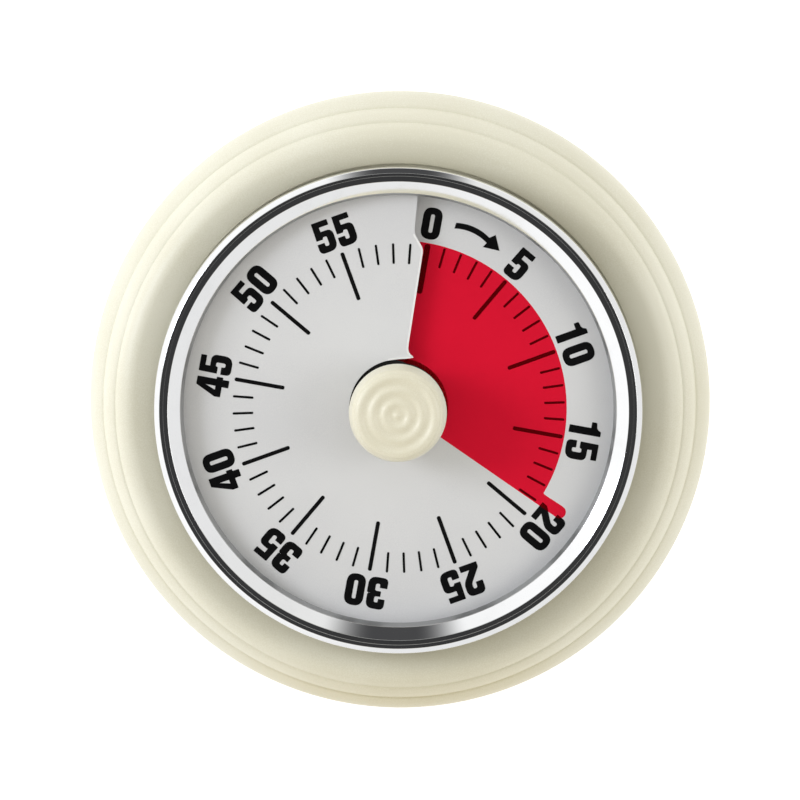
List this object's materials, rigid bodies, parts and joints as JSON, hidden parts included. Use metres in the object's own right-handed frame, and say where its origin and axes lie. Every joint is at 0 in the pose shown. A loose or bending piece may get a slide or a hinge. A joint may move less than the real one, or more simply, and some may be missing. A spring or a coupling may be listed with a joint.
{
  "type": "kitchen timer",
  "caption": "Round mechanical sixty-minute timer with a magnetic back, a chrome bezel and a red disc that shrinks through a slit in the dial as time runs out",
  "frame": {"origin": "the middle of the flat back, on the surface the timer lies on or sticks to", "axes": "+Z is the dial's outward normal, +Y points at the 0 mark and +X at the 15 mark"},
  "size_m": [0.08, 0.08, 0.0305],
  "materials": {
    "cream_shell": "smooth satin cream",
    "cream_cover": "fine matte cream",
    "cream_knob": "smooth satin cream",
    "chrome": "polished",
    "dial_white": "printed satin white",
    "disc_red": "clear tinted film",
    "grey_plastic": "moulded",
    "brass": "brushed",
    "steel": "ground",
    "spring_steel": "blued",
    "magnet": "dark ferrite",
    "rubber": "soft cream"
  },
  "bodies": {
    "case": {"front_shell": "cream_shell", "rear_shell": "cream_shell", "back_cover": "cream_cover", "magnet_left": "magnet", "magnet_right": "magnet", "foot_ring": "rubber", "case_screw_1": "steel", "case_screw_2": "steel", "case_screw_3": "steel", "bezel_ring": "chrome", "dial_seat": "grey_plastic", "dial_plate": "dial_white", "back_plate": "brass", "front_plate": "brass", "plate_pillar_1": "brass", "plate_pillar_2": "brass", "plate_pillar_3": "brass", "plate_nut_1": "steel", "plate_nut_2": "steel", "plate_nut_3": "steel", "movement_screw_1": "steel", "movement_screw_2": "steel", "movement_screw_3": "steel", "mainspring": "spring_steel", "spring_hook_pin": "steel", "bell_gong": "steel", "bell_post": "steel", "bell_nut": "brass", "hammer_spring": "spring_steel"},
    "knob": {"setting_knob": "cream_knob", "main_arbor": "steel", "great_wheel": "brass", "ratchet_wheel": "steel", "ratchet_click": "spring_steel", "striker_cam": "brass", "arbor_clip": "spring_steel"},
    "disc": {"disc_hub": "grey_plastic", "time_disc": "disc_red"},
    "second_train": {"second_arbor": "steel", "second_wheel": "brass"},
    "third_train": {"third_arbor": "steel", "third_wheel": "brass"},
    "escape_train": {"escape_arbor": "steel", "escape_wheel": "brass"},
    "balance": {"balance_staff": "steel", "pallet_fork": "steel", "balance_bob": "brass"},
    "hammer": {"hammer_staff": "steel", "trip_lever": "steel", "hammer_arm": "steel"}
  },
  "joints": [
    {"name": "knob_turn", "type": "hinge", "parent": "case", "child": "knob", "pos_m": [0, 0, 0.012], "axis": [0, 0, -1], "range_deg": [-114.6, 245.4]},
    {"name": "disc_lift", "type": "slide", "parent": "knob", "child": "disc", "axis": [0, 0, 1], "range_m": [-0.00064, 0.00137]},
    {"name": "second_turn", "type": "hinge", "parent": "case", "child": "second_train", "pos_m": [-0.0148, 0.00539, 0.012], "axis": [0, 0, -1], "range_deg": [-1472.9, 688.1]},
    {"name": "third_turn", "type": "hinge", "parent": "case", "child": "third_train", "pos_m": [-0.00962, 0.01328, 0.012], "axis": [0, 0, -1], "range_deg": [-2750.9, 5890.1]},
    {"name": "escape_turn", "type": "hinge", "parent": "case", "child": "escape_train", "pos_m": [-0.00225, 0.01665, 0.012], "axis": [0, 0, -1], "range_deg": [-23558.9, 11002.1]},
    {"name": "balance_swing", "type": "hinge", "parent": "case", "child": "balance", "pos_m": [0.0052, 0.01619, 0.012], "axis": [0, 0, -1], "range_deg": [-4, 4]},
    {"name": "hammer_swing", "type": "hinge", "parent": "case", "child": "hammer", "pos_m": [0.00918, -0.01311, 0.012], "axis": [0, 0, 1], "range_deg": [0, 7]}
  ],
  "couplings": [
    {"joint": "disc_lift", "follows": "knob_turn", "m_per_rad": 0.00031831},
    {"joint": "second_turn", "follows": "knob_turn", "ratio": -6},
    {"joint": "third_turn", "follows": "knob_turn", "ratio": 24},
    {"joint": "escape_turn", "follows": "knob_turn", "ratio": -96}
  ]
}
